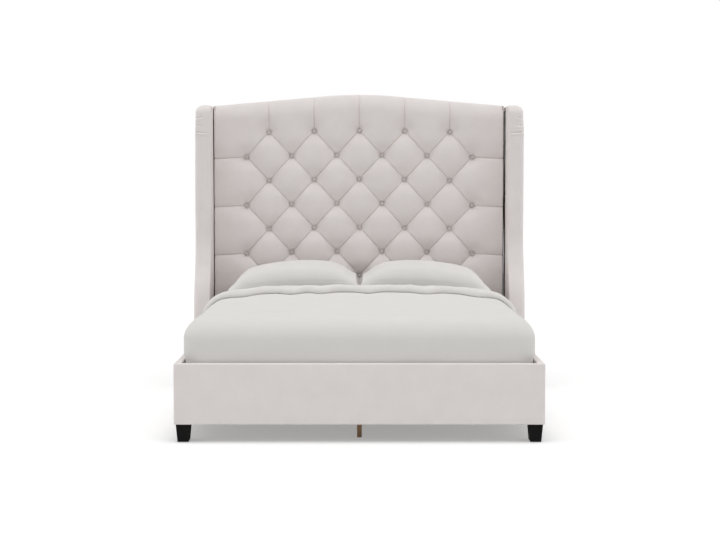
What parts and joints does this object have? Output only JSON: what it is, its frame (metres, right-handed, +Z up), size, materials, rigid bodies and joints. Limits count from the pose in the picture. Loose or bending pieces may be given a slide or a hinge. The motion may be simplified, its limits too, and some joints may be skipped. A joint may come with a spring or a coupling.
{
  "type": "upholstered bed",
  "caption": "Queen platform bed with a diamond-tufted arched headboard between side wings, padded rails, block legs, slats, mattress, duvet and pillows.",
  "frame": {"origin": "on the floor under the middle of the bed", "axes": "+Z up, +Y from the foot end to the headboard, +X to the right seen from the foot end"},
  "size_m": [1.871, 2.235, 1.6818],
  "materials": {
    "upholstery_fabric": "matte",
    "frame_wood": "matte",
    "slat_wood": "matte",
    "support_leg_wood": "matte",
    "plywood": "matte",
    "black_leg_wood": "satin",
    "zinc_steel": "satin",
    "glide_plastic": "matte",
    "twine": "matte",
    "mattress_ticking": "matte",
    "mattress_tape": "matte",
    "duvet_cotton": "matte",
    "pillow_cotton": "matte"
  },
  "bodies": {
    "bed_frame": {"beam_hangers": "zinc_steel", "button_twines": "twine", "centre_beam": "frame_wood", "foot_glides": "glide_plastic", "footboard_core": "frame_wood", "footboard_cover": "upholstery_fabric", "frame_bolts": "zinc_steel", "front_leg_left": "black_leg_wood", "front_leg_right": "black_leg_wood", "headboard_back_cloth": "upholstery_fabric", "headboard_low_rail": "frame_wood", "headboard_mid_rail": "frame_wood", "headboard_pad": "upholstery_fabric", "headboard_panel": "plywood", "headboard_post_left": "frame_wood", "headboard_post_right": "frame_wood", "headboard_top_rail": "frame_wood", "leg_block_front_left": "frame_wood", "leg_block_front_right": "frame_wood", "leg_block_rear_left": "frame_wood", "leg_block_rear_right": "frame_wood", "leg_hanger_bolts": "zinc_steel", "rear_leg_left": "black_leg_wood", "rear_leg_right": "black_leg_wood", "side_rail_core_left": "frame_wood", "side_rail_core_right": "frame_wood", "side_rail_cover_left": "upholstery_fabric", "side_rail_cover_right": "upholstery_fabric", "slat_01": "slat_wood", "slat_02": "slat_wood", "slat_03": "slat_wood", "slat_04": "slat_wood", "slat_05": "slat_wood", "slat_06": "slat_wood", "slat_07": "slat_wood", "slat_08": "slat_wood", "slat_09": "slat_wood", "slat_10": "slat_wood", "slat_11": "slat_wood", "slat_12": "slat_wood", "slat_ledger_left": "frame_wood", "slat_ledger_right": "frame_wood", "support_leg_1": "support_leg_wood", "support_leg_2": "support_leg_wood", "support_leg_3": "support_leg_wood", "support_leg_4": "support_leg_wood", "support_leg_pads": "glide_plastic", "tuft_buttons": "upholstery_fabric", "wing_bolts": "zinc_steel", "wing_core_left": "frame_wood", "wing_core_right": "frame_wood", "wing_cover_left": "upholstery_fabric", "wing_cover_right": "upholstery_fabric", "wood_screws": "zinc_steel"},
    "mattress": {"mattress": "mattress_ticking", "mattress_border_tapes": "mattress_tape"},
    "duvet": {"duvet": "duvet_cotton"},
    "pillow_left": {"pillow_left": "pillow_cotton"},
    "pillow_right": {"pillow_right": "pillow_cotton"}
  },
  "joints": [
    {"name": "mattress_lift", "type": "slide", "parent": "bed_frame", "child": "mattress", "axis": [0, 0, 1], "range_m": [0, 0.45]},
    {"name": "duvet_lift", "type": "slide", "parent": "mattress", "child": "duvet", "axis": [0, 0, 1], "range_m": [0, 0.4]},
    {"name": "pillow_left_lift", "type": "slide", "parent": "mattress", "child": "pillow_left", "axis": [0, 0, 1], "range_m": [0, 0.35]},
    {"name": "pillow_right_lift", "type": "slide", "parent": "mattress", "child": "pillow_right", "axis": [0, 0, 1], "range_m": [0, 0.35]}
  ]
}
